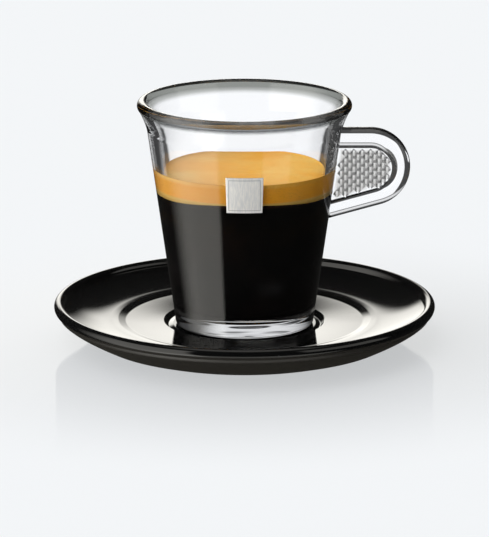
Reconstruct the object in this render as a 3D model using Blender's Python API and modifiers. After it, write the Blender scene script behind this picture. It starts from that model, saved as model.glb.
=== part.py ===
"""An espresso shot as it is served: black coffee under a golden crema, in a thick clear glass cup with a solid ear
handle, standing on a black saucer. Metres, +Z up. The origin is the centre of the saucer's foot, on the table, and
the handle points along +X."""

import math

import bmesh
import bpy
from mathutils import Matrix, Vector

MM = 0.001

GAP = 0.3 * MM  # clearance between two pieces that touch
TURN_STEPS = 60
MERGE = 0.01 * MM

# Saucer: radii from its axis, heights above the table
SAUCER_RADIUS = 55.0 * MM
SAUCER_BEAD = 1.45 * MM
SAUCER_BEAD_HEIGHT = 10.3 * MM
SAUCER_STEP_RADIUS = 34.6 * MM
SAUCER_STEP_WIDTH = 1.5 * MM
SAUCER_STEP_HEIGHT = 6.5 * MM
SAUCER_RING_HEIGHT = 5.85 * MM
SEAT_RADIUS = 22.25 * MM
SEAT_EDGE_WIDTH = 0.65 * MM
SEAT_HEIGHT = 5.0 * MM
FOOT_OUTER_RADIUS = 38.5 * MM
FOOT_INNER_RADIUS = 34.5 * MM
FOOT_RECESS = 1.5 * MM

# Cup: an upright cone of glass with a thick base, a flared neck and a rolled rim
CUP_HEIGHT = 65.5 * MM
CUP_BASE_HEIGHT = SEAT_HEIGHT + GAP
CUP_BASE_RADIUS = 19.8 * MM  # the outer wall's line carried down to the base
CUP_TAPER = 0.142  # growth of the radius with height
CUP_WALL = 3.0 * MM
CUP_FLOOR = 5.0 * MM
CUP_PUNT_RADIUS = 14.0 * MM
CUP_PUNT_RISE = 0.9 * MM
NECK_HEIGHT = 62.4 * MM
RIM_BEAD = 1.54 * MM
RIM_RADIUS = 30.74 * MM

# Drink: levels above the table
COFFEE_LEVEL = 45.1 * MM
CREMA_LEVEL = 51.0 * MM
MENISCUS = 0.4 * MM

# Ear handle, in the plane through the cup's axis: its outline is a straight top, a round end and a sloping underside
EAR_TOP = 62.8 * MM
EAR_CENTRE = (36.0 * MM, 51.3 * MM)
EAR_SLOPE = 15.5  # degrees
EAR_THICKNESS = 6.0 * MM
EAR_ROUNDING = 1.9 * MM
PANEL_CENTRE = (36.1 * MM, 50.7 * MM)
PANEL_RADIUS = 6.2 * MM
PANEL_THICKNESS = 2.6 * MM
PANEL_CORNER = 1.2 * MM
PANEL_EDGE = 1.1 * MM  # from the cup's wall to the panel
DIAMOND_PITCH = 2.4 * MM
DIAMOND_RISE = 0.4 * MM
DIAMOND_MARGIN = 1.9 * MM

# Square plate on the front of the glass
PLATE_SIDE = 10.4 * MM
PLATE_THICKNESS = 0.4 * MM
PLATE_HEIGHT = 48.8 * MM
PLATE_CELLS = 8

# Colour, roughness, metallic and transmission of each material
FINISHES = {
    "saucer_black": ((0.008, 0.008, 0.008), 0.08, 0.0, 0.0),
    "clear_glass": ((0.96, 0.98, 0.97), 0.02, 0.0, 1.0),
    "coffee": ((0.012, 0.006, 0.004), 0.1, 0.0, 0.0),
    "crema": ((0.72, 0.36, 0.07), 0.45, 0.0, 0.0),
    "silver_plate": ((0.72, 0.72, 0.72), 0.3, 1.0, 0.0),
}


def clear_scene():
    for item in list(bpy.data.objects):
        bpy.data.objects.remove(item, do_unlink=True)


def new_collection(name):
    collection = bpy.data.collections.new(name)
    bpy.context.scene.collection.children.link(collection)
    return collection


def material(name):
    colour, roughness, metallic, transmission = FINISHES[name]
    made = bpy.data.materials.new(name)
    made.use_nodes = True
    shader = made.node_tree.nodes["Principled BSDF"]
    shader.inputs["Base Color"].default_value = (*colour, 1.0)
    shader.inputs["Roughness"].default_value = roughness
    shader.inputs["Metallic"].default_value = metallic
    shader.inputs["Transmission Weight"].default_value = transmission
    return made


def add_object(name, mesh, collection, finish=None):
    solid = bpy.data.objects.new(name, mesh)
    collection.objects.link(solid)
    if finish:
        mesh.materials.append(material(finish))
    return solid


def add_guide(name, mesh, collection):
    guide = add_object(name, mesh, collection)
    guide.hide_render = True
    guide.display_type = "WIRE"
    return guide


def arc(centre, radius, start, end, steps):
    """Points on a circle, from one angle to another in degrees."""
    angles = [math.radians(start + (end - start) * i / steps) for i in range(steps + 1)]
    return [(centre[0] + radius * math.cos(a), centre[1] + radius * math.sin(a)) for a in angles]


def bow(start, control, end, steps):
    """Points on a quadratic curve that leaves start towards control and arrives at end from it."""
    points = []
    for i in range(steps + 1):
        t = i / steps
        near, middle, far = (1 - t) ** 2, 2 * t * (1 - t), t**2
        points.append(tuple(near * a + middle * b + far * c for a, b, c in zip(start, control, end)))
    return points


def fillet(before, corner, after, radius, steps=3):
    """The arc that rounds a corner between two straight lines."""
    corner = Vector(corner)
    back = (Vector(before) - corner).normalized()
    ahead = (Vector(after) - corner).normalized()
    half = back.angle(ahead) / 2
    centre = corner + (back + ahead).normalized() * radius / math.sin(half)
    first = corner + back * radius / math.tan(half) - centre
    last = corner + ahead * radius / math.tan(half) - centre
    start = math.degrees(math.atan2(first.y, first.x))
    sweep = (math.degrees(math.atan2(last.y, last.x)) - start + 180) % 360 - 180
    return arc(centre, radius, start, start + sweep, steps)


def turned(name, profile, finish, collection):
    """A solid of revolution about Z. Its profile runs from the axis along the top, down the outside and back."""
    section = bmesh.new()
    corners = [section.verts.new((radius, 0, height)) for radius, height in profile]
    for first, second in zip(corners, corners[1:]):
        section.edges.new((first, second))
    mesh = bpy.data.meshes.new(name)
    section.to_mesh(mesh)
    section.free()
    solid = add_object(name, mesh, collection, finish)
    screw = solid.modifiers.new("Turn", "SCREW")
    screw.steps = TURN_STEPS
    screw.render_steps = TURN_STEPS
    screw.use_merge_vertices = True
    screw.merge_threshold = MERGE
    screw.use_smooth_shade = True
    return solid


def saucer_profile():
    bead_centre = (SAUCER_RADIUS - SAUCER_BEAD, SAUCER_BEAD_HEIGHT)
    seat_edge = (SEAT_RADIUS, SEAT_HEIGHT)
    ring_edge = (SEAT_RADIUS + SEAT_EDGE_WIDTH, SAUCER_RING_HEIGHT)
    step_foot = (SAUCER_STEP_RADIUS, SAUCER_RING_HEIGHT)
    step_top = (SAUCER_STEP_RADIUS + SAUCER_STEP_WIDTH, SAUCER_STEP_HEIGHT)
    bead = arc(bead_centre, SAUCER_BEAD, 200, -55, 10)
    slope = bow((38.0 * MM, 6.5 * MM), (46.5 * MM, 6.8 * MM), bead[0], 5)
    shoulder = (53.7 * MM, 8.0 * MM)
    underside = bow(shoulder, (51.6 * MM, 5.7 * MM), (43.5 * MM, 1.6 * MM), 5)
    foot_rim = (FOOT_OUTER_RADIUS + 1.6 * MM, 0.5 * MM)
    return [
        (0, SEAT_HEIGHT),
        *fillet((0, SEAT_HEIGHT), seat_edge, ring_edge, 0.4 * MM, 2),
        *fillet(seat_edge, ring_edge, step_foot, 0.4 * MM, 2),
        *fillet(ring_edge, step_foot, step_top, 0.6 * MM, 2),
        *fillet(step_foot, step_top, slope[0], 0.8 * MM, 2),
        *slope[:-1],
        *bead,
        *underside,
        foot_rim,
        (FOOT_OUTER_RADIUS, 0),
        (FOOT_INNER_RADIUS, 0),
        (FOOT_INNER_RADIUS - 1.0 * MM, FOOT_RECESS),
        (0, FOOT_RECESS),
    ]


def wall_radius(height, inset=0.0):
    """Radius of the cup's straight outer wall at a height, or of a cone that lies inside it."""
    return CUP_BASE_RADIUS + CUP_TAPER * (height - CUP_BASE_HEIGHT) - inset


def cup_profile():
    bottom = CUP_BASE_HEIGHT
    floor = bottom + CUP_FLOOR
    top = bottom + CUP_HEIGHT
    bead_centre = (RIM_RADIUS - RIM_BEAD, top - RIM_BEAD)
    bead = arc(bead_centre, RIM_BEAD, 195, -50, 10)
    floor_corner = (wall_radius(floor, CUP_WALL), floor)
    inner_neck = (wall_radius(NECK_HEIGHT, CUP_WALL), NECK_HEIGHT)
    outer_neck = (wall_radius(NECK_HEIGHT), NECK_HEIGHT)
    inner_flare = bow(inner_neck, (wall_radius(65 * MM, CUP_WALL), 65 * MM), bead[0], 3)
    outer_flare = bow(bead[-1], (29.4 * MM, 66.4 * MM), outer_neck, 4)
    base_corner = (wall_radius(bottom), bottom)
    punt_edge = (CUP_PUNT_RADIUS, bottom)
    return [
        (0, floor),
        *fillet((0, floor), floor_corner, inner_neck, 2.4 * MM, 4),
        *inner_flare[:-1],
        *bead,
        *outer_flare[1:],
        *fillet(outer_neck, base_corner, punt_edge, 1.2 * MM),
        punt_edge,
        (CUP_PUNT_RADIUS * 0.6, bottom + CUP_PUNT_RISE * 0.7),
        (0, bottom + CUP_PUNT_RISE),
    ]


def ear_radius():
    return EAR_TOP - EAR_CENTRE[1]


def below_round_end(centre, radius, run):
    """The point reached from the round end's lower tangent by going back along the sloping underside."""
    slope = math.radians(EAR_SLOPE)
    return (
        centre[0] + radius * math.sin(slope) - run * math.cos(slope),
        centre[1] - radius * math.cos(slope) - run * math.sin(slope),
    )


def ear_outline():
    """The handle's outer outline, which ends halfway into the cup's wall."""
    radius = ear_radius()
    end = arc(EAR_CENTRE, radius, 90, EAR_SLOPE - 90, 16)
    root = below_round_end(EAR_CENTRE, radius, 17.0 * MM)
    return [
        (wall_radius(EAR_TOP, CUP_WALL / 2), EAR_TOP),
        *end,
        (wall_radius(root[1], CUP_WALL / 2), root[1]),
    ]


def panel_outline():
    """The outline of the sunk panel inside the handle, with two rounded corners beside the cup's wall."""
    end = arc(PANEL_CENTRE, PANEL_RADIUS, 90, EAR_SLOPE - 90, 12)
    top = end[0][1]
    upper = (wall_radius(top, -PANEL_EDGE), top)
    low = below_round_end(PANEL_CENTRE, PANEL_RADIUS, 10.8 * MM)
    lower = (wall_radius(low[1], -PANEL_EDGE), low[1])
    return [
        *fillet(lower, upper, end[0], PANEL_CORNER),
        *end,
        *fillet(end[-1], lower, upper, PANEL_CORNER),
    ]


def plate_of(name, outline, thickness, rounding, collection):
    """A flat piece that stands in the XZ plane, made from its outline as a mesh."""
    curve = bpy.data.curves.new(name, "CURVE")
    curve.dimensions = "2D"
    curve.fill_mode = "BOTH"
    curve.extrude = thickness / 2 - rounding
    curve.bevel_depth = rounding
    curve.bevel_resolution = 2
    curve.offset = -rounding
    spline = curve.splines.new("POLY")
    spline.points.add(len(outline) - 1)
    for point, (x, z) in zip(spline.points, outline):
        point.co = (x, z, 0, 1)
    spline.use_cyclic_u = True
    drawn = add_object(name + "_outline", curve, collection)
    drawn.rotation_euler.x = math.radians(90)
    bpy.context.view_layer.update()
    graph = bpy.context.evaluated_depsgraph_get()
    mesh = bpy.data.meshes.new_from_object(drawn.evaluated_get(graph))
    welded = bmesh.new()
    welded.from_mesh(mesh)
    bmesh.ops.remove_doubles(welded, verts=welded.verts, dist=MERGE)
    bmesh.ops.recalc_face_normals(welded, faces=welded.faces)
    welded.to_mesh(mesh)
    welded.free()
    plate = add_guide(name, mesh, collection)
    plate.matrix_world = drawn.matrix_world
    bpy.data.objects.remove(drawn)
    return plate


def boolean(target, other, operation):
    join = target.modifiers.new(other.name, "BOOLEAN")
    join.operation = operation
    join.solver = "EXACT"
    join.object = other


def on_panel(x, z, margin):
    """Whether a point of the handle's plane lies on the panel, at least a margin inside its outline."""
    slope = math.radians(EAR_SLOPE)
    across, up = x - PANEL_CENTRE[0], z - PANEL_CENTRE[1]
    reach = PANEL_RADIUS - margin
    beside_wall = x - wall_radius(z, -PANEL_EDGE) > margin
    below_top = up < reach
    above_slope = across * math.sin(slope) - up * math.cos(slope) < reach
    in_round_end = across < 0 or math.hypot(across, up) < reach
    return beside_wall and below_top and above_slope and in_round_end


def diamond_relief(collection):
    """Low four-sided pyramids in staggered rows on both faces of the panel."""
    relief = bmesh.new()
    half = DIAMOND_PITCH / 2
    sunk = 0.3 * MM
    height = DIAMOND_RISE + sunk
    base = half * 0.9 * height / DIAMOND_RISE
    rows = range(-12, 13)
    for row in rows:
        for column in rows:
            if (row + column) % 2:
                continue
            x, z = PANEL_CENTRE[0] + column * half, PANEL_CENTRE[1] + row * half
            if not on_panel(x, z, DIAMOND_MARGIN - half * 0.5):
                continue
            for side in (-1, 1):
                middle = PANEL_THICKNESS / 2 - sunk + height / 2
                place = Matrix.Translation((x, side * middle, z))
                stand = Matrix.Rotation(math.radians(-90 * side), 4, "X")
                bmesh.ops.create_cone(
                    relief,
                    cap_ends=True,
                    segments=4,
                    radius1=base,
                    radius2=0,
                    depth=height,
                    matrix=place @ stand,
                )
    mesh = bpy.data.meshes.new("diamond_relief")
    relief.to_mesh(mesh)
    relief.free()
    return add_guide("diamond_relief", mesh, collection)


def make_ear(collection):
    ear = plate_of("ear", ear_outline(), EAR_THICKNESS, EAR_ROUNDING, collection)
    depth = EAR_THICKNESS - PANEL_THICKNESS
    for name, side in (("front_pocket", -1), ("back_pocket", 1)):
        pocket = plate_of(name, panel_outline(), depth, 0, collection)
        pocket.location.y = side * EAR_THICKNESS / 2
        boolean(ear, pocket, "DIFFERENCE")
    boolean(ear, diamond_relief(collection), "UNION")
    return ear


def make_cup(parts, guides):
    cup = turned("cup", cup_profile(), "clear_glass", parts)
    boolean(cup, make_ear(guides), "UNION")
    return cup


def coffee_profile():
    floor = CUP_BASE_HEIGHT + CUP_FLOOR + GAP
    inset = CUP_WALL + GAP
    shore = (wall_radius(COFFEE_LEVEL, inset), COFFEE_LEVEL)
    corner = (wall_radius(floor, inset), floor)
    return [(0, COFFEE_LEVEL), shore, *fillet(shore, corner, (0, floor), 2.4 * MM, 4), (0, floor)]


def crema_profile():
    bottom = COFFEE_LEVEL + GAP
    inset = CUP_WALL + GAP
    edge = CREMA_LEVEL + MENISCUS
    shore = (wall_radius(edge, inset), edge)
    meniscus = bow((shore[0] - 1.6 * MM, CREMA_LEVEL), (shore[0] - 0.4 * MM, CREMA_LEVEL), shore, 3)
    return [(0, CREMA_LEVEL), *meniscus, (wall_radius(bottom, inset), bottom), (0, bottom)]


def make_front_plate(collection):
    """A thin square that follows the glass, in the middle of the cup's front."""
    grid = bmesh.new()
    bmesh.ops.create_grid(grid, x_segments=PLATE_CELLS, y_segments=PLATE_CELLS, size=PLATE_SIDE / 2)
    for vert in grid.verts:
        height = PLATE_HEIGHT + vert.co.y
        radius = wall_radius(height, -GAP)
        angle = vert.co.x / wall_radius(PLATE_HEIGHT)
        vert.co = (radius * math.sin(angle), -radius * math.cos(angle), height)
    mesh = bpy.data.meshes.new("front_plate")
    grid.to_mesh(mesh)
    grid.free()
    plate = add_object("front_plate", mesh, collection, "silver_plate")
    shell = plate.modifiers.new("Thickness", "SOLIDIFY")
    shell.thickness = PLATE_THICKNESS
    shell.offset = 1
    return plate


def main():
    clear_scene()
    parts = new_collection("espresso_shot")
    guides = new_collection("guides")
    turned("saucer", saucer_profile(), "saucer_black", parts)
    make_cup(parts, guides)
    turned("coffee", coffee_profile(), "coffee", parts)
    turned("crema", crema_profile(), "crema", parts)
    make_front_plate(parts)


main()
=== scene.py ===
"""Looks for an espresso shot in its clear glass cup on a black saucer, laid out as an add-on: one operator
for each piece and one for the stage. Metres, +Z up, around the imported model, which is loaded as the frame."""

import math

import bmesh
import bpy
from bpy.props import FloatProperty, FloatVectorProperty, IntProperty, PointerProperty
from mathutils import Matrix, Vector, noise


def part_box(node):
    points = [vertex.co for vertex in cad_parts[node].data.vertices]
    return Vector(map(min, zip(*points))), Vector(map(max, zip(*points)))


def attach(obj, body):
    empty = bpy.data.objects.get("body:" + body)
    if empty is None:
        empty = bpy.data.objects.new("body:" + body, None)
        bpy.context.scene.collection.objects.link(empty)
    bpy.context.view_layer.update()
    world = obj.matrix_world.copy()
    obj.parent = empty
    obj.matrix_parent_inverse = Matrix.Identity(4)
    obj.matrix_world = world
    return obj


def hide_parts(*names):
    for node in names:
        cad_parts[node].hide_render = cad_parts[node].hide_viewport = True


bl_info = {
    "name": "Espresso Shot",
    "version": (1, 0, 0),
    "blender": (4, 5, 0),
    "location": "View3D > Sidebar > Espresso",
    "description": "Models an espresso shot in its glass cup, on a saucer, with its studio",
    "category": "Object",
}

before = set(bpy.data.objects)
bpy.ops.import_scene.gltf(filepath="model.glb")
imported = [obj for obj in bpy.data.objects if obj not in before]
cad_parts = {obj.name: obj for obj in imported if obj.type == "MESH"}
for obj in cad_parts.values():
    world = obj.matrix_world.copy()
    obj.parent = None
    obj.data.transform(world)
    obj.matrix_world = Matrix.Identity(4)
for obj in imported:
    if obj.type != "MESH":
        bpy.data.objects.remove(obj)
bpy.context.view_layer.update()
BODY = "root"

MM = 0.001
TURN_STEPS = 192  # round the axis of cup and saucer
MERGE = 0.001 * MM

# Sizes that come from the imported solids
SAUCER_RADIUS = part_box("saucer")[1][0]
CUP_BASE_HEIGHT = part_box("cup")[0][2]
CUP_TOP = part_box("cup")[1][2]
RIM_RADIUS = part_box("cup")[1][1]
COFFEE_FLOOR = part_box("coffee")[0][2]
COFFEE_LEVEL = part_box("coffee")[1][2]
CREMA_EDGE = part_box("crema")[1][2]
PLATE_LOW, PLATE_HIGH = [corner[2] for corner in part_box("front_plate")]
PLATE_MIDDLE = (PLATE_LOW + PLATE_HIGH) / 2
PLATE_SIDE = PLATE_HIGH - PLATE_LOW

# Sizes that shape the saucer's finer surfaces
SEAT_HEIGHT = 5.0 * MM
SEAT_DIP = 0.45 * MM  # how far the seat's rim dips below its middle
RING_HEIGHT = 5.85 * MM
RING_DISH = 0.18 * MM  # how far the flat ring rises outwards
STEP_HEIGHT = 6.5 * MM
BEAD_HEIGHT = 10.3 * MM
FOOT_RECESS = 1.5 * MM

# Sizes that shape the cup's finer surfaces
GAP = 0.3 * MM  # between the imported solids
CUP_TAPER = 0.142  # growth of the radius with height
CUP_WALL = 3.0 * MM
CUP_BASE_RADIUS = 19.8 * MM
CUP_BOTTOM = CUP_BASE_HEIGHT - GAP + 0.05 * MM  # just above the saucer's seat
CUP_FLOOR = COFFEE_FLOOR - GAP
FLOOR_ROUNDING = 2.4 * MM
FOOT_RADIUS = 16.5 * MM
PUNT_RISE = 0.25 * MM
OUTER_NECK = 61.7 * MM
INNER_NECK = 61.8 * MM
OUTER_FLARE = 64.1 * MM  # heights that the flares curve towards
INNER_FLARE = 64.4 * MM
CUP_CREASE = 14  # degrees, past which the cup's edges are sharp

# Sizes that shape the handle, in its own plane
EAR_TOP = 62.8 * MM
EAR_CENTRE = (36.0 * MM, 51.3 * MM)
EAR_SLOPE = math.radians(15.5)
EAR_CORNER = 0.4 * MM
EAR_STEPS = 20  # across half of the border's section
PANEL_CENTRE = (36.1 * MM, 50.7 * MM)
PANEL_RADIUS = 6.2 * MM
PANEL_EDGE = 0.2 * MM  # from the cup's wall to the panel
DIAMOND_SUNK = 0.3 * MM  # how far a diamond's base lies inside the panel
DIAMOND_MARGIN = 0.8 * MM  # from a diamond's middle to the panel's outline
RELIEF_MARGIN = 0.3 * MM  # from the panel's outline to what counts as relief
RELIEF = "relief"  # the cup's attribute that is 1 on the handle's diamonds

# Sizes that shape the drink
INTO_GLASS = 0.08 * MM  # how far the drink reaches into the wall
FOAM_FOOT = COFFEE_LEVEL + GAP / 2  # where foam and coffee meet
NEAR = 0.1 * MM  # within which a point counts as lying on a level
SURFACE_DROP = 0.4 * MM  # from the foam's edge on the glass down to its surface
FOAM_UNEVEN = 0.12 * MM
HANG_UNEVEN = 0.1 * MM

# How far the silver plate stands off the glass
PLATE_LIFT = 0.03 * MM

# The stage
FLOOR_RADIUS = 12.0
CARD_PROFILE = ((0, 3.0), (38.0, 3.0), (44.0, 4.2), (50.0, 6.8), (52.8, 9.0), (54.8, 10.3), (54.8, 45.0))
CAMERA_PLACE = (0, -1.152, 0.319)
CAMERA_AIM = (0, 0, 0.021)

# Colours that stay the same
DUST = (0.3, 0.3, 0.3)
BARE_GLASS = (1.0, 1.0, 1.0)
SHORE_BROWN = (0.05, 0.02, 0.008)
# painted light on the foam's side towards the softbox
FOAM_PAINTED_LIGHT = (1.0, 0.61, 0.27)
FOAM_THIN = (0.78, 0.55, 0.16)
BORDER_GREY = (0.25, 0.25, 0.25)


def arc(centre, radius, start, end, steps):
    """Points on a circle, from one angle to another in degrees."""
    angles = [math.radians(start + (end - start) * i / steps) for i in range(steps + 1)]
    return [(centre[0] + radius * math.cos(a), centre[1] + radius * math.sin(a)) for a in angles]


def bow(start, control, end, steps):
    """Points on a quadratic curve that leaves start towards control and arrives at end from it."""
    points = []
    for i in range(steps + 1):
        t = i / steps
        near, middle, far = (1 - t) ** 2, 2 * t * (1 - t), t**2
        corners = zip(start, control, end)
        points.append(tuple(near * a + middle * b + far * c for a, b, c in corners))
    return points


def straight(start, end, steps, margin=0.25 * MM):
    """Points strictly between two ends of a line, one of them close to each end so that its shading stays
    flat."""
    start, end = Vector(start), Vector(end)
    short = margin / (end - start).length
    shares = [short, *(i / steps for i in range(1, steps)), 1 - short]
    return [tuple(start.lerp(end, share)) for share in shares]


def fillet(before, corner, after, radius, steps):
    """The arc that rounds a corner between two straight lines."""
    corner = Vector(corner)
    back = (Vector(before) - corner).normalized()
    ahead = (Vector(after) - corner).normalized()
    half = back.angle(ahead) / 2
    centre = corner + (back + ahead).normalized() * radius / math.sin(half)
    first = corner + back * radius / math.tan(half) - centre
    last = corner + ahead * radius / math.tan(half) - centre
    start = math.degrees(math.atan2(first.y, first.x))
    sweep = (math.degrees(math.atan2(last.y, last.x)) - start + 180) % 360 - 180
    return arc(centre, radius, start, start + sweep, steps)


def smoothstep(value, low, high):
    """A smooth rise from 0 at low to 1 at high."""
    t = min(max((value - low) / (high - low), 0.0), 1.0)
    return t * t * (3 - 2 * t)


def closed(shape):
    """Merges the seam and poles of a shape and turns its faces outwards."""
    bmesh.ops.remove_doubles(shape, verts=shape.verts, dist=MERGE)
    bmesh.ops.recalc_face_normals(shape, faces=shape.faces)


def finish_shape(name, shape):
    """A smooth-shaded object of a shape."""
    mesh = bpy.data.meshes.new(name)
    shape.to_mesh(mesh)
    shape.free()
    mesh.shade_smooth()
    piece = bpy.data.objects.new(name, mesh)
    bpy.context.scene.collection.objects.link(piece)
    return piece


def spun(profile, steps=TURN_STEPS):
    """A closed solid of revolution about Z, from a profile that starts and ends on the axis."""
    shape = bmesh.new()
    corners = [shape.verts.new((radius, 0, height)) for radius, height in profile]
    edges = [shape.edges.new(pair) for pair in zip(corners, corners[1:])]
    bmesh.ops.spin(
        shape,
        geom=[*corners, *edges],
        cent=(0, 0, 0),
        axis=(0, 0, 1),
        angle=math.tau,
        steps=steps,
        use_merge=True,
    )
    closed(shape)
    return shape


def settle(piece, material, node):
    """Gives a piece its material and its body, and hides the CAD node that it stands for."""
    piece.data.materials.clear()
    piece.data.materials.append(material)
    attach(piece, BODY)
    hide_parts(node)


class Socket:
    """An output socket that adds Math nodes to its tree when it is used in an expression."""

    def __init__(self, graph, output):
        self.graph = graph
        self.output = output

    def maths(self, operation, *others):
        """A Math node that takes this socket first."""
        return self.graph.maths(operation, self, *others)

    def __add__(self, other):
        return self.maths("ADD", other)

    def __radd__(self, other):
        return self.graph.maths("ADD", other, self)

    def __sub__(self, other):
        return self.maths("SUBTRACT", other)

    def __rsub__(self, other):
        return self.graph.maths("SUBTRACT", other, self)

    def __mul__(self, other):
        return self.maths("MULTIPLY", other)

    def __rmul__(self, other):
        return self.graph.maths("MULTIPLY", other, self)

    def __abs__(self):
        return self.maths("ABSOLUTE")

    def over(self, low, high):
        """A smooth rise from 0 at low to 1 at high, or a fall where low is the higher."""
        first, last = (low, high) if low < high else (high, low)
        rise = self.graph.add(
            "ShaderNodeMapRange",
            {"interpolation_type": "SMOOTHSTEP"},
            {"Value": self, "From Min": first, "From Max": last},
        )
        return rise if low < high else 1 - rise


class Graph:
    """A node tree, and the one method that adds any node to it."""

    def __init__(self, tree):
        self.tree = tree
        tree.nodes.clear()

    def add(self, kind, settings=None, inputs=None, output=0):
        """A node of a kind, its settings made first and then its sockets' values or links. Gives one output,
        or a list of those that are named in a tuple."""
        node = self.tree.nodes.new(kind)
        for name, value in (settings or {}).items():
            setattr(node, name, value)
        for name, value in (inputs or {}).items():
            socket = node.inputs[name]
            if isinstance(value, Socket):
                self.tree.links.new(value.output, socket)
            elif socket.type == "RGBA":
                socket.default_value = (*value, 1.0)
            else:
                socket.default_value = value
        if isinstance(output, tuple):
            return [Socket(self, node.outputs[name]) for name in output]
        return Socket(self, node.outputs[output]) if len(node.outputs) else None

    def maths(self, operation, *values):
        return self.add("ShaderNodeMath", {"operation": operation}, dict(enumerate(values)))

    def place(self, scale=(1.0, 1.0, 1.0)):
        """Object coordinates, stretched."""
        spot = self.add("ShaderNodeTexCoord", output="Object")
        return self.add("ShaderNodeMapping", inputs={"Vector": spot, "Scale": scale})

    def axes(self, vector):
        """The three parts of a vector."""
        return self.add("ShaderNodeSeparateXYZ", inputs={0: vector}, output=(0, 1, 2))

    def cloud(self, vector, scale, detail, roughness=0.5):
        """Soft noise from 0 to 1, with scale in lumps a metre."""
        return self.add(
            "ShaderNodeTexNoise",
            inputs={"Vector": vector, "Scale": scale, "Detail": detail, "Roughness": roughness},
        )

    def blend(self, factor, first, second):
        """A mix of two colours."""
        return self.add("ShaderNodeMix", {"data_type": "RGBA"}, {0: factor, 6: first, 7: second}, 2)

    def bump(self, height, distance, strength=1.0):
        shape = {"Height": height, "Distance": distance, "Strength": strength}
        return self.add("ShaderNodeBump", inputs=shape)


def from_axis(x, y):
    """Distance from the Z axis."""
    return (x * x + y * y).maths("SQRT")


def new_material(name):
    """An empty material and its graph."""
    material = bpy.data.materials.new(name)
    material.use_nodes = True
    return material, Graph(material.node_tree)


def principled(graph, **sockets):
    """A Principled shader with sockets named in words joined by underscores."""
    names = {name.replace("_", " "): value for name, value in sockets.items()}
    return graph.add("ShaderNodeBsdfPrincipled", inputs=names)


def show(graph, shader):
    """Joins a shader to the output of a material."""
    graph.add("ShaderNodeOutputMaterial", inputs={"Surface": shader})


def saucer_glaze(look):
    """Black glaze: deep gloss with faint smears and a few dust specks, rougher and browner underneath."""
    material, graph = new_material("saucer_glaze")
    spot = graph.place()
    smears = graph.cloud(spot, 38.0, 4.0, 0.6)
    specks = graph.cloud(spot, 900.0, 1.0, 0.5).over(0.74, 0.8)
    colour = graph.blend(specks * 0.06, look.glaze_colour, DUST)
    ripple = graph.bump(graph.cloud(spot, 70.0, 1.0), 0.02 * MM)
    x, y, height = graph.axes(spot)
    reach = from_axis(x, y)
    climb = (reach - 48.0 * MM).maths("MAXIMUM", 0.0) * 0.5  # the underside's rise towards the rim
    under = (height - climb).over(6.4 * MM, 5.9 * MM) * reach.over(37.0 * MM, 38.0 * MM)
    colour = graph.blend(under, colour, look.foot_colour)
    glaze = principled(
        graph,
        Base_Color=colour,
        Roughness=look.glaze_roughness + smears * 0.03 + specks * 0.1 + under * 0.35,
        IOR=1.5,
        Normal=ripple,
    )
    show(graph, glaze)
    return material


def cup_glass(look):
    """Thick clear glass. Painted shade darkens it where it is seen edge on, in the rolled rim and on the
    handle's diamonds. The rim's front carries a little grey matt layer that stands in for light: painted sheen."""
    material, graph = new_material("cup_glass")
    spot = graph.place()
    edge = graph.add("ShaderNodeLayerWeight", inputs={"Blend": 0.5}, output="Facing")
    _, depth, height = graph.axes(spot)
    rim = height.over(CUP_TOP - 4.0 * MM, CUP_TOP - 2.6 * MM)
    front = depth.over(-10 * MM, -26 * MM)
    # painted shade: the rolled rim is darkened, deepest at its front, for the dark lines that the surroundings
    # give it
    rim_shade = graph.blend(front, look.rim_shade_colour, look.rim_front_shade_colour)
    body = graph.blend(rim, BARE_GLASS, rim_shade)
    # painted shade: the glass darkens where it is seen edge on, for the dark surroundings seen in its edges
    shade_tint = graph.blend(edge.over(0.55, 1.0) * look.edge_shade_depth, body, look.edge_shade_colour)
    relief = graph.add("ShaderNodeAttribute", {"attribute_name": RELIEF}, output="Fac")
    # painted shade: the handle's diamonds are greyed for the dark that their facets bend in
    shade_tint = graph.blend(relief, shade_tint, look.relief_shade_colour)
    foot = height.over(CUP_FLOOR - 0.6 * MM, CUP_FLOOR - 2.0 * MM)
    waves = graph.cloud(spot, 90.0, 1.0) * 0.012 + graph.cloud(spot, 120.0, 0.0) * foot * 0.26
    clear = principled(
        graph,
        Base_Color=shade_tint,
        Roughness=relief * look.relief_roughness,
        IOR=look.glass_index,
        Transmission_Weight=1.0,
        Normal=graph.bump(waves, MM),
    )
    # painted sheen: a grey matt layer, lit by the room, stands in for light seen through the rim's front
    painted_sheen = graph.add("ShaderNodeBsdfDiffuse", inputs={"Color": look.painted_sheen_colour})
    upper = height.over(CUP_TOP - 2.1 * MM, CUP_TOP - 1.3 * MM) * 0.7 + 0.3
    patches = graph.cloud(spot, 150.0, 1.0).over(0.3, 0.65) * 0.6 + 0.4
    share = rim * front * upper * patches * look.painted_sheen
    mixed = graph.add("ShaderNodeMixShader", inputs={0: share, 1: clear, 2: painted_sheen})
    show(graph, mixed)
    return material


def black_coffee(look):
    """Black coffee against glass, with a trace of brown at its shore."""
    material, graph = new_material("black_coffee")
    spot = graph.place()
    _, _, height = graph.axes(spot)
    shore = height.over(COFFEE_LEVEL - 1.2 * MM, COFFEE_LEVEL)
    veil = graph.cloud(spot, 60.0, 2.0).over(0.45, 0.8)
    colour = graph.blend(shore * 0.6 + veil * 0.1, look.coffee_colour, SHORE_BROWN)
    liquid = principled(graph, Base_Color=colour, Roughness=0.2, IOR=1.33, Specular_IOR_Level=0.1)
    show(graph, liquid)
    return material


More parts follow.
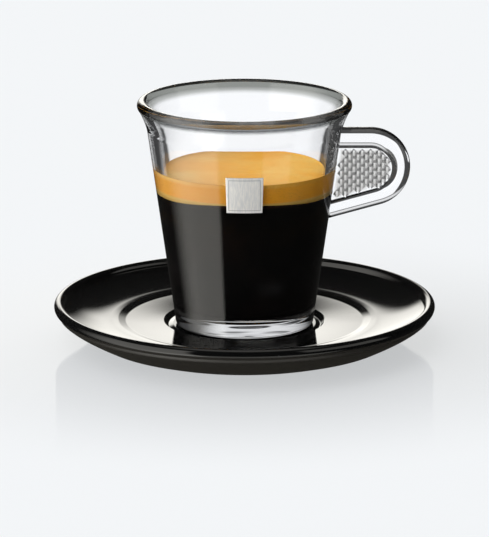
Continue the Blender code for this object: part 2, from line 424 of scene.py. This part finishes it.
def golden_crema(look):
    """Golden foam: mottled tones, fine bubbles, painted light that makes the side towards the softbox paler,
    deeper colour below its surface, and a yellow lower edge where it thins over the coffee."""
    material, graph = new_material("golden_crema")
    spot = graph.place()
    across, _, height = graph.axes(spot)
    swirls = graph.cloud(spot, 55.0, 3.0, 0.55)
    bubbles = {"Vector": spot, "Scale": 1900.0}
    pores = graph.add("ShaderNodeTexVoronoi", {"feature": "F1"}, bubbles, "Distance")
    foam = graph.blend(swirls.over(0.35, 0.7), look.crema_colour, look.crema_pale)
    # painted light: the side towards the softbox is made paler
    foam = graph.blend(across.over(8 * MM, -18 * MM) * 0.35, foam, FOAM_PAINTED_LIGHT)
    side = height.over(CREMA_EDGE - 0.5 * MM, CREMA_EDGE - 1.6 * MM)
    foam = graph.blend(side * 0.6, foam, look.crema_deep)
    dots = graph.blend(pores.over(0.45, 0.1) * 0.35, foam, look.crema_dark)
    edge = height.over(COFFEE_LEVEL + 1.1 * MM, COFFEE_LEVEL + 0.3 * MM)
    colour = graph.blend(edge * 0.7, dots, FOAM_THIN)
    foam = principled(
        graph,
        Base_Color=colour,
        Roughness=0.5,
        IOR=1.33,
        Specular_IOR_Level=0.3,
        Normal=graph.bump(pores, 0.05 * MM, 0.5),
    )
    show(graph, foam)
    return material


def brushed_silver(look):
    """Pale brushed silver with upright brush lines and a thin darker border."""
    material, graph = new_material("brushed_silver")
    spot = graph.place()
    across, _, up = graph.axes(spot)
    lines = graph.cloud(graph.place((2600.0, 2600.0, 60.0)), 1.0, 2.0, 0.6)
    reach = PLATE_SIDE / 2
    sides = abs(across).maths("MAXIMUM", abs(up - PLATE_MIDDLE))
    border = sides.over(reach - 0.95 * MM, reach - 0.85 * MM)
    border = border * sides.over(reach - 0.6 * MM, reach - 0.7 * MM)
    tone = graph.blend(lines.over(0.3, 0.7), look.silver_dark, look.silver_colour)
    colour = graph.blend(border * 0.5, tone, BORDER_GREY)
    silver = principled(
        graph,
        Base_Color=colour,
        Metallic=0.4,
        Roughness=0.32 + lines * 0.2,
        Normal=graph.bump(lines, 0.01 * MM, 0.4),
    )
    show(graph, silver)
    return material


class SaucerLook(bpy.types.PropertyGroup):
    bead: FloatProperty(
        name="Rim bead", description="Radius of the rolled rim", default=1.45 * MM, unit="LENGTH"
    )
    glaze_colour: FloatVectorProperty(
        name="Glaze", description="Colour of the glaze", default=(0.003, 0.003, 0.003), subtype="COLOR"
    )
    foot_colour: FloatVectorProperty(
        name="Underside",
        description="Colour of the underside",
        default=(0.013, 0.0115, 0.009),
        subtype="COLOR",
    )
    glaze_roughness: FloatProperty(
        name="Glaze roughness", description="Roughness of the glaze", default=0.05, subtype="FACTOR"
    )


class CupLook(bpy.types.PropertyGroup):
    rim_bead: FloatProperty(
        name="Rim bead", description="Radius of the rolled rim", default=1.54 * MM, unit="LENGTH"
    )
    ear_thickness: FloatProperty(
        name="Handle thickness",
        description="Thickness of the handle's border",
        default=6.0 * MM,
        unit="LENGTH",
    )
    panel_thickness: FloatProperty(
        name="Panel thickness", description="Thickness inside the border", default=2.6 * MM, unit="LENGTH"
    )
    diamond_pitch: FloatProperty(
        name="Diamond pitch", description="Width of one diamond", default=2.4 * MM, unit="LENGTH"
    )
    diamond_rise: FloatProperty(
        name="Diamond rise", description="Height of one diamond", default=0.34 * MM, unit="LENGTH"
    )
    relief_roughness: FloatProperty(
        name="Relief roughness", description="Roughness of the diamonds", default=0.25, subtype="FACTOR"
    )
    # Painted shade on the handle's diamonds
    relief_shade_colour: FloatVectorProperty(
        name="Relief tint", description="Tint of the diamonds", default=(0.74, 0.73, 0.71), subtype="COLOR"
    )
    glass_index: FloatProperty(
        name="Glass index", description="Index of refraction of the glass", default=1.5
    )
    # Painted shade that darkens the rolled rim and its front
    rim_shade_colour: FloatVectorProperty(
        name="Rim tint", description="Tint of the thick rim", default=(0.29, 0.3, 0.28), subtype="COLOR"
    )
    rim_front_shade_colour: FloatVectorProperty(
        name="Rim front tint",
        description="Tint of the rim's front",
        default=(0.21, 0.22, 0.23),
        subtype="COLOR",
    )
    # Painted sheen of light on the rim's front
    painted_sheen: FloatProperty(
        name="Rim haze", description="Share of grey haze in the rim's front", default=0.36, subtype="FACTOR"
    )
    painted_sheen_colour: FloatVectorProperty(
        name="Haze", description="Colour of the haze in the rim", default=(0.42, 0.41, 0.39), subtype="COLOR"
    )
    # Painted shade where the glass is seen edge on
    edge_shade_colour: FloatVectorProperty(
        name="Edge tint", description="Tint seen edge on", default=(0.2, 0.2, 0.18), subtype="COLOR"
    )
    edge_shade_depth: FloatProperty(
        name="Edge depth", description="Strength of the edge tint", default=0.8, subtype="FACTOR"
    )


class DrinkLook(bpy.types.PropertyGroup):
    hang: FloatProperty(
        name="Foam hang",
        description="How far the foam hangs lower at the sides",
        default=1.0 * MM,
        unit="LENGTH",
    )
    coffee_colour: FloatVectorProperty(
        name="Coffee", description="Colour of the coffee", default=(0.004, 0.0035, 0.0035), subtype="COLOR"
    )
    crema_colour: FloatVectorProperty(
        name="Crema", description="Main colour of the foam", default=(1.0, 0.45, 0.03), subtype="COLOR"
    )
    crema_pale: FloatVectorProperty(
        name="Pale crema", description="Colour of its paler swirls", default=(1.0, 0.6, 0.13), subtype="COLOR"
    )
    crema_deep: FloatVectorProperty(
        name="Deep crema", description="Colour below its surface", default=(1.0, 0.39, 0.012), subtype="COLOR"
    )
    crema_dark: FloatVectorProperty(
        name="Dark crema", description="Colour between bubbles", default=(0.5, 0.2, 0.03), subtype="COLOR"
    )


class PlateLook(bpy.types.PropertyGroup):
    cells: IntProperty(name="Cells", description="Cells along a side of the plate", default=24)
    thickness: FloatProperty(
        name="Thickness", description="Thickness of the plate", default=0.25 * MM, unit="LENGTH"
    )
    edge_rounding: FloatProperty(
        name="Edge rounding", description="Width of its rounded edges", default=0.06 * MM, unit="LENGTH"
    )
    silver_colour: FloatVectorProperty(
        name="Silver", description="Colour of the plate", default=(0.95, 0.92, 0.86), subtype="COLOR"
    )
    silver_dark: FloatVectorProperty(
        name="Brush lines",
        description="Colour of the brush lines",
        default=(0.8, 0.79, 0.77),
        subtype="COLOR",
    )


class StageLook(bpy.types.PropertyGroup):
    floor_colour: FloatVectorProperty(
        name="Floor", description="Colour of the floor", default=(0.16, 0.16, 0.16), subtype="COLOR"
    )
    floor_glow: FloatVectorProperty(
        name="Floor glow",
        description="Light that comes through the floor",
        default=(0.715, 0.731, 0.743),
        subtype="COLOR",
    )
    mirror: FloatProperty(
        name="Floor mirror",
        description="Share of mirrored light near the saucer",
        default=0.079,
        subtype="FACTOR",
    )
    backdrop: FloatVectorProperty(
        name="Backdrop", description="Colour behind the floor", default=(0.89, 0.905, 0.928), subtype="COLOR"
    )
    softbox: FloatVectorProperty(
        name="Softbox",
        description="Colour of the mirrored lights",
        default=(0.94, 0.92, 0.86),
        subtype="COLOR",
    )
    lens: FloatProperty(name="Lens", description="Focal length in millimetres", default=276.5)


def wall_radius(height, inset=0.0):
    """Radius of the cup's straight outer wall at a height, or of a cone that lies inside it."""
    return CUP_BASE_RADIUS + CUP_TAPER * (height - CUP_BASE_HEIGHT) - inset


def saucer_profile(look):
    """Half the saucer's section, from the middle of its seat round the rim to the middle of its underside."""
    bead_centre = (SAUCER_RADIUS - look.bead, BEAD_HEIGHT)
    seat, recess = (0, SEAT_HEIGHT), (0, FOOT_RECESS)
    seat_start = (20.6 * MM, SEAT_HEIGHT)
    seat_edge = (22.0 * MM, SEAT_HEIGHT - SEAT_DIP)
    ring_edge = (23.2 * MM, RING_HEIGHT)
    step_foot, step_top = (34.3 * MM, RING_HEIGHT + RING_DISH), (36.5 * MM, STEP_HEIGHT)
    bead = arc(bead_centre, look.bead, 200, -55, 40)
    slope = bow((38.0 * MM, 6.62 * MM), (46.5 * MM, 6.8 * MM), bead[0], 28)
    shoulder = (53.75 * MM, 8.55 * MM)
    underside = bow((53.7 * MM, 8.0 * MM), (51.6 * MM, 5.7 * MM), (43.5 * MM, 1.6 * MM), 24)
    foot_side, foot_edge = (40.1 * MM, 0.5 * MM), (38.5 * MM, 0)
    foot_inner, recess_edge = (34.5 * MM, 0), (33.5 * MM, FOOT_RECESS)
    return [
        seat,
        *straight(seat, seat_start, 6),
        *fillet(seat, seat_start, seat_edge, 0.4 * MM, 4),
        *fillet(seat_start, seat_edge, ring_edge, 0.3 * MM, 6),
        *fillet(seat_edge, ring_edge, step_foot, 0.5 * MM, 6),
        *fillet(ring_edge, step_foot, step_top, 3.0 * MM, 6),
        *fillet(step_foot, step_top, slope[0], 3.5 * MM, 8),
        *slope[:-1],
        *bead,
        *fillet(bead[-1], shoulder, underside[1], 0.25 * MM, 4),
        *underside[1:],
        *fillet(underside[-1], foot_side, foot_edge, 1.0 * MM, 4),
        *fillet(foot_side, foot_edge, foot_inner, 0.3 * MM, 3),
        *fillet(foot_edge, foot_inner, recess_edge, 0.3 * MM, 3),
        recess_edge,
        *straight(recess_edge, recess, 6),
        recess,
    ]


def cup_profile(look):
    """Half the cup's section, from the middle of its floor over the rim to the middle of its base."""
    bead_centre = (RIM_RADIUS - look.rim_bead, CUP_TOP - look.rim_bead)
    bead = arc(bead_centre, look.rim_bead, 168, -50, 40)
    floor = (0, CUP_FLOOR)
    floor_corner = (wall_radius(CUP_FLOOR, CUP_WALL), CUP_FLOOR)
    inner_neck = (wall_radius(INNER_NECK, CUP_WALL), INNER_NECK)
    outer_neck = (wall_radius(OUTER_NECK), OUTER_NECK)
    inner_flare = bow(inner_neck, (wall_radius(INNER_FLARE, CUP_WALL), INNER_FLARE), bead[0], 20)
    outer_flare = bow(bead[-1], (wall_radius(OUTER_FLARE), OUTER_FLARE), outer_neck, 20)
    floor_round = fillet(floor, floor_corner, inner_neck, FLOOR_ROUNDING, 12)
    base_corner = (wall_radius(CUP_BOTTOM), CUP_BOTTOM)
    base_round = fillet(outer_neck, base_corner, (0, CUP_BOTTOM), 1.2 * MM, 10)
    punt_top = CUP_BOTTOM + PUNT_RISE
    punt = bow((FOOT_RADIUS, CUP_BOTTOM), (9.0 * MM, punt_top), (0, punt_top), 10)
    return [
        floor,
        *straight(floor, floor_round[0], 5),
        *floor_round,
        *straight(floor_round[-1], inner_neck, 12),
        *inner_flare[:-1],
        *bead,
        *outer_flare[1:],
        *straight(outer_neck, base_round[0], 14),
        *base_round,
        *punt,
    ]


def ear_loop(centre, radius, inset):
    """A closed outline of the handle: a straight top, a round end, a sloping underside and a side along the
    wall."""
    end = arc(centre, radius, 90, math.degrees(EAR_SLOPE) - 90, 48)
    top = end[0][1]
    upper = (wall_radius(top, inset), top)
    slope = Vector((math.cos(EAR_SLOPE), math.sin(EAR_SLOPE)))
    start = Vector(end[-1])
    back = start - Vector((wall_radius(start.y, inset), start.y))
    run = back.x / (slope.x - CUP_TAPER * slope.y)
    lower = tuple(start - slope * run)
    rounded_top = fillet(lower, upper, end[0], EAR_CORNER, 6)
    rounded_low = fillet(end[-1], lower, upper, EAR_CORNER, 6)
    return [
        *rounded_top,
        *straight(rounded_top[-1], end[0], 18),
        *end,
        *straight(end[-1], rounded_low[0], 18),
        *rounded_low,
        *straight(rounded_low[-1], rounded_top[0], 18),
    ]


def ear_shape(look):
    """The handle's border and panel: an elliptical section is carried round on both faces, from the outer
    outline to the panel's, and flat faces close the panel."""
    outer = ear_loop(EAR_CENTRE, EAR_TOP - EAR_CENTRE[1], CUP_WALL / 2)
    inner = ear_loop(PANEL_CENTRE, PANEL_RADIUS, CUP_WALL / 2 - 0.05 * MM)
    crest = look.ear_thickness / 2
    web = look.panel_thickness / 2
    last = math.pi - math.asin(web / crest)
    stations = [last * (i / EAR_STEPS) for i in range(-EAR_STEPS, EAR_STEPS + 1)]
    shape = bmesh.new()

    def ring_points(angle):
        share = (1 - math.cos(angle)) / (1 - math.cos(last))
        depth = crest * math.sin(angle)
        for (x0, z0), (x1, z1) in zip(outer, inner):
            yield (x0 + (x1 - x0) * share, depth, z0 + (z1 - z0) * share)

    verts = [shape.verts.new(point) for point in ring_points(stations[0])]
    edges = [shape.edges.new(pair) for pair in zip(verts, verts[1:] + verts[:1])]
    bmesh.ops.contextual_create(shape, geom=edges)
    for angle in stations[1:]:
        grown = bmesh.ops.extrude_edge_only(shape, edges=edges)["geom"]
        fresh = [item for item in grown if isinstance(item, bmesh.types.BMVert)]
        edges = [
            item
            for item in grown
            if isinstance(item, bmesh.types.BMEdge) and all(v in fresh for v in item.verts)
        ]
        for vert, point in zip(fresh, ring_points(angle)):
            vert.co = point
    bmesh.ops.contextual_create(shape, geom=edges)
    closed(shape)
    return shape


def on_panel(x, z, margin):
    """Whether a point of the handle's plane lies on the panel, at least a margin inside its outline."""
    across, up = x - PANEL_CENTRE[0], z - PANEL_CENTRE[1]
    reach = PANEL_RADIUS - margin
    beside_wall = x - wall_radius(z, -PANEL_EDGE) > margin
    above_slope = across * math.sin(EAR_SLOPE) - up * math.cos(EAR_SLOPE) < reach
    in_round_end = across < 0 or math.hypot(across, up) < reach
    return beside_wall and up < reach and above_slope and in_round_end


def diamond_shape(look):
    """Low four-sided pyramids in staggered rows on both faces of the panel."""
    shape = bmesh.new()
    half = look.diamond_pitch / 2
    height = look.diamond_rise + DIAMOND_SUNK
    base = half * 0.99 * height / look.diamond_rise
    middle = look.panel_thickness / 2 - DIAMOND_SUNK + height / 2
    steps = range(-12, 13)
    grid = [(column, row) for column in steps for row in steps if (column + row) % 2 == 0]
    for column, row in grid:
        x, z = PANEL_CENTRE[0] + column * half, PANEL_CENTRE[1] + row * half
        if not on_panel(x, z, DIAMOND_MARGIN):
            continue
        for side in (-1, 1):
            place = Matrix.Translation((x, side * middle, z))
            stand = Matrix.Rotation(math.radians(-90 * side), 4, "X")
            bmesh.ops.create_cone(
                shape,
                cap_ends=True,
                segments=4,
                radius1=base,
                radius2=0.0,
                depth=height,
                matrix=place @ stand,
            )
    return shape


def joined(base, other):
    """The Boolean union of two pieces as one mesh, with the other removed."""
    join = base.modifiers.new(other.name, "BOOLEAN")
    join.operation = "UNION"
    join.solver = "EXACT"
    join.object = other
    bpy.context.view_layer.update()
    graph = bpy.context.evaluated_depsgraph_get()
    mesh = bpy.data.meshes.new_from_object(base.evaluated_get(graph))
    base.modifiers.clear()
    base.data = mesh
    bpy.data.objects.remove(other)
    return base


def coffee_profile():
    """Half the coffee's section, from the middle of its surface to the middle of the cup's floor."""
    inset = CUP_WALL - INTO_GLASS / 2
    floor = CUP_FLOOR - INTO_GLASS / 2
    corner = (wall_radius(floor, inset), floor)
    shore = (wall_radius(FOAM_FOOT, inset), FOAM_FOOT)
    low = fillet(shore, corner, (0, floor), FLOOR_ROUNDING, 12)
    return [(0, FOAM_FOOT), *straight((0, FOAM_FOOT), shore, 6), shore, *low, (0, floor)]


def crema_shape(look):
    """The foam, with a meniscus up the glass, an uneven surface and a foot that hangs lower at the sides."""
    inset = CUP_WALL - INTO_GLASS
    level = CREMA_EDGE - SURFACE_DROP
    edge = (wall_radius(CREMA_EDGE, inset), CREMA_EDGE)
    bottom = (wall_radius(FOAM_FOOT, inset), FOAM_FOOT)
    meniscus = bow((edge[0] - 1.6 * MM, level), (edge[0] - 0.4 * MM, level), edge, 8)
    profile = [
        (0, level),
        *straight((0, level), meniscus[0], 40),
        *meniscus,
        *straight(meniscus[-1], bottom, 6),
        bottom,
        (0, FOAM_FOOT),
    ]
    shape = spun(profile)
    for vert in shape.verts:
        reach = vert.co.xy.length
        if vert.co.z > level - NEAR and reach < meniscus[0][0]:
            vert.co.z += FOAM_UNEVEN * noise.noise(vert.co * 160.0)
        if vert.co.z < FOAM_FOOT + NEAR and reach > bottom[0] / 2:
            hang = look.hang * smoothstep(abs(vert.co.x) / reach, 0.2, 1.0)
            hang += HANG_UNEVEN * noise.noise(vert.co * 120.0)
            vert.co *= 1 - CUP_TAPER * hang / reach
            vert.co.z = FOAM_FOOT - hang
    return shape


class ESPRESSO_OT_saucer(bpy.types.Operator):
    """Turn the black saucer with its rolled rim, step and seat"""

    bl_idname = "espresso.make_saucer"
    bl_label = "Saucer"

    def execute(self, context):
        look = context.scene.saucer_look
        saucer = finish_shape("saucer_body", spun(saucer_profile(look)))
        saucer.visible_glossy = False
        settle(saucer, saucer_glaze(look), "saucer")
        return {"FINISHED"}


class ESPRESSO_OT_cup(bpy.types.Operator):
    """Turn the glass cup and fuse its solid ear handle to it"""

    bl_idname = "espresso.make_cup"
    bl_label = "Glass cup"

    def execute(self, context):
        look = context.scene.cup_look
        ear = finish_shape("ear", ear_shape(look))
        diamonds = finish_shape("diamonds", diamond_shape(look))
        ear = joined(ear, diamonds)
        cup = finish_shape("glass_cup", spun(cup_profile(look)))
        cup = joined(cup, ear)
        cup.data.shade_smooth()
        cup.data.set_sharp_from_angle(angle=math.radians(CUP_CREASE))
        relief = cup.data.attributes.new(RELIEF, "FLOAT", "POINT")
        depth = look.panel_thickness / 2 + look.diamond_rise + 0.02 * MM
        for vert, mark in zip(cup.data.vertices, relief.data):
            x, y, z = vert.co
            mark.value = abs(y) < depth and on_panel(x, z, RELIEF_MARGIN)
        settle(cup, cup_glass(look), "cup")
        return {"FINISHED"}


class ESPRESSO_OT_drink(bpy.types.Operator):
    """Pour the coffee and its crema, both just into the glass"""

    bl_idname = "espresso.make_drink"
    bl_label = "Coffee and crema"

    def execute(self, context):
        look = context.scene.drink_look
        coffee = finish_shape("coffee_body", spun(coffee_profile()))
        settle(coffee, black_coffee(look), "coffee")
        crema = finish_shape("crema_body", crema_shape(look))
        settle(crema, golden_crema(look), "crema")
        return {"FINISHED"}


class ESPRESSO_OT_plate(bpy.types.Operator):
    """Bend the small bare silver square on the front of the glass"""

    bl_idname = "espresso.make_plate"
    bl_label = "Silver plate"

    def execute(self, context):
        look = context.scene.plate_look
        shape = bmesh.new()
        bmesh.ops.create_grid(shape, x_segments=look.cells, y_segments=look.cells, size=PLATE_SIDE / 2)
        for vert in shape.verts:
            height = PLATE_MIDDLE + vert.co.y
            radius = wall_radius(height, -PLATE_LIFT)
            angle = vert.co.x / wall_radius(PLATE_MIDDLE)
            vert.co = (radius * math.sin(angle), -radius * math.cos(angle), height)
        bmesh.ops.recalc_face_normals(shape, faces=shape.faces)
        plate = finish_shape("silver_square", shape)
        shell = plate.modifiers.new("Thickness", "SOLIDIFY")
        shell.thickness = look.thickness
        shell.offset = 1
        edge = plate.modifiers.new("Soft edge", "BEVEL")
        edge.width = look.edge_rounding
        edge.segments = 2
        settle(plate, brushed_silver(look), "front_plate")
        return {"FINISHED"}


def studio_world(look):
    """Soft studio light, brighter from the left. What the glass shows is a white card for each side that it
    is seen from. What gloss mirrors is a bright low panel behind, a tall softbox to the left of the camera
    and weaker cards in front, to the right and overhead. The rest of the room is dark for both. Light that a
    matt surface has scattered meets only the soft light. All angles are in degrees."""
    world = bpy.data.worlds.new("studio")
    bpy.context.scene.world = world
    world.use_nodes = True
    world.cycles.sampling_method = "NONE"
    graph = Graph(world.node_tree)
    direction = graph.add("ShaderNodeTexCoord", output="Generated")
    x, y, z = graph.axes(direction)
    lift = z.maths("ARCSINE") * math.degrees(1)
    ahead = x.maths("ARCTAN2", y) * math.degrees(1)  # 0 away from the camera, 90 to its right

    def between(angle, start, full, fade, end):
        """1 from full to fade, and 0 from start down and from end up."""
        return angle.over(start, full) * angle.over(end, fade)

    def card(turn, half_width, low, high, soft=4.0):
        """A soft-edged card at a turn from straight ahead, from a low to a high lift."""
        offset = (ahead - turn).maths("WRAP", 180.0, -180.0)
        sides = abs(offset).over(half_width + soft, half_width)
        return sides * between(lift, low - soft, low, high, high + soft)

    behind = card(0, 13, -27, 4, 3)
    behind_left = card(-45, 6, -29, -21, 3)
    left = card(-90, 15, -11, 8)
    front_right = card(135, 18, -30, 2)
    above_behind = between(ahead, -80, -20, 11, 35) * between(lift, 6, 12, 18, 24)
    through = behind
    for white in (behind_left, left, front_right, above_behind * 0.72):
        through = through.maths("MAXIMUM", white)
    through = through * 1.08 + 0.07

    low_panel = between(ahead, -20, -9, -0.5, 8) * between(lift, -8, 9, 14.4, 19)
    side_box = between(ahead, -150, -142, -100, -58) * between(lift, -68, -60, 34, 42)
    low_front = card(180, 70, -70, -46, 8)
    right = card(115, 25, 5, 35, 8)
    overhead = lift.over(60, 74)
    gloss = low_panel * 3.5 + side_box * 2.0 + low_front * 1.1 + right + overhead * 0.9 + 0.022

    seen = ("Is Camera Ray", "Is Glossy Ray", "Is Transmission Ray", "Diffuse Depth")
    is_camera, is_gloss, is_through, scattered = graph.add("ShaderNodeLightPath", output=seen)
    is_sharp = 1 - scattered.maths("MINIMUM", 1.0)
    is_gloss = is_gloss * is_sharp
    is_through = is_through * is_sharp
    soft_light = 1.5 + ahead.over(-10, -70) * 0.7 - ahead.over(20, 95) * 1.35
    lit = soft_light * (1 - is_gloss) + gloss * is_gloss
    strength = lit * (1 - is_through) + through * is_through
    strength = strength * (1 - is_camera) + is_camera
    colour = graph.blend(is_gloss * (1 - is_through), look.backdrop, look.softbox)
    shell = graph.add("ShaderNodeBackground", inputs={"Color": colour, "Strength": strength})
    graph.add("ShaderNodeOutputWorld", inputs={"Surface": shell})


def studio_floor(look):
    """A plain pale floor that mirrors softly near the saucer's foot, where its own glow falls off in turn."""
    shape = bmesh.new()
    bmesh.ops.create_circle(shape, cap_ends=True, segments=96, radius=FLOOR_RADIUS)
    floor = finish_shape("floor", shape)
    material, graph = new_material("pale_floor")
    x, y, _ = graph.axes(graph.place())
    share = from_axis(x, y).over(0.135, 0.035) * look.mirror
    lamp = {"Color": look.floor_glow, "Strength": 1 - share * 2.8}
    matt = graph.add("ShaderNodeBsdfDiffuse", inputs={"Color": look.floor_colour})
    glow = graph.add("ShaderNodeEmission", inputs=lamp)
    matt = graph.add("ShaderNodeAddShader", inputs={0: matt, 1: glow})
    polish = {"Color": (0.9, 0.9, 0.9), "Roughness": 0.08}
    mirror = graph.add("ShaderNodeBsdfGlossy", inputs=polish)
    show(graph, graph.add("ShaderNodeMixShader", inputs={0: share, 1: matt, 2: mirror}))
    floor.data.materials.append(material)
    floor.visible_glossy = False
    floor.visible_transmission = False


def saucer_card():
    """The black card that the floor mirrors in place of the saucer, so that the glass needn't mirror the
    saucer. Only mirrors see it, and only from below."""
    profile = [(radius * MM, height * MM) for radius, height in CARD_PROFILE]
    card = finish_shape("mirror_card", spun(profile, 96))
    material, graph = new_material("mirror_card")
    above = graph.add("ShaderNodeNewGeometry", output="Backfacing")
    black = graph.add("ShaderNodeBsdfDiffuse", inputs={"Color": (0.01, 0.01, 0.01)})
    clear = graph.add("ShaderNodeBsdfTransparent")
    show(graph, graph.add("ShaderNodeMixShader", inputs={0: above, 1: black, 2: clear}))
    card.data.materials.append(material)
    card.visible_camera = False
    card.visible_diffuse = False
    card.visible_transmission = False
    card.visible_shadow = False


class ESPRESSO_OT_stage(bpy.types.Operator):
    """Set the pale floor, the soft studio light and the camera"""

    bl_idname = "espresso.make_stage"
    bl_label = "Studio and camera"

    def execute(self, context):
        look = context.scene.stage_look
        scene = context.scene
        scene.view_settings.view_transform = "Standard"
        studio_world(look)
        studio_floor(look)
        saucer_card()
        camera_data = bpy.data.cameras.new("camera")
        camera_data.lens = look.lens
        camera_data.sensor_width = 36
        camera_data.clip_start = 0.05
        camera = bpy.data.objects.new("camera", camera_data)
        scene.collection.objects.link(camera)
        camera.location = CAMERA_PLACE
        aim = Vector(CAMERA_AIM) - camera.location
        camera.rotation_euler = aim.to_track_quat("-Z", "Y").to_euler()
        scene.camera = camera
        return {"FINISHED"}


class ESPRESSO_PT_panel(bpy.types.Panel):
    """The steps of the espresso shot, in order"""

    bl_idname = "ESPRESSO_PT_panel"
    bl_label = "Espresso shot"
    bl_space_type = "VIEW_3D"
    bl_region_type = "UI"
    bl_category = "Espresso"

    def draw(self, context):
        for step in STEPS:
            self.layout.operator(step.bl_idname)


STEPS = (ESPRESSO_OT_stage, ESPRESSO_OT_saucer, ESPRESSO_OT_cup, ESPRESSO_OT_drink, ESPRESSO_OT_plate)
LOOKS = {
    "saucer_look": SaucerLook,
    "cup_look": CupLook,
    "drink_look": DrinkLook,
    "plate_look": PlateLook,
    "stage_look": StageLook,
}


def register():
    for item in (*LOOKS.values(), *STEPS, ESPRESSO_PT_panel):
        bpy.utils.register_class(item)
    for name, look in LOOKS.items():
        setattr(bpy.types.Scene, name, PointerProperty(type=look))


def unregister():
    for name in LOOKS:
        delattr(bpy.types.Scene, name)
    for item in reversed((*LOOKS.values(), *STEPS, ESPRESSO_PT_panel)):
        bpy.utils.unregister_class(item)


def main():
    register()
    bpy.ops.espresso.make_stage()
    bpy.ops.espresso.make_saucer()
    bpy.ops.espresso.make_cup()
    bpy.ops.espresso.make_drink()
    bpy.ops.espresso.make_plate()
    bpy.context.view_layer.update()


if __name__ == "__main__":
    main()
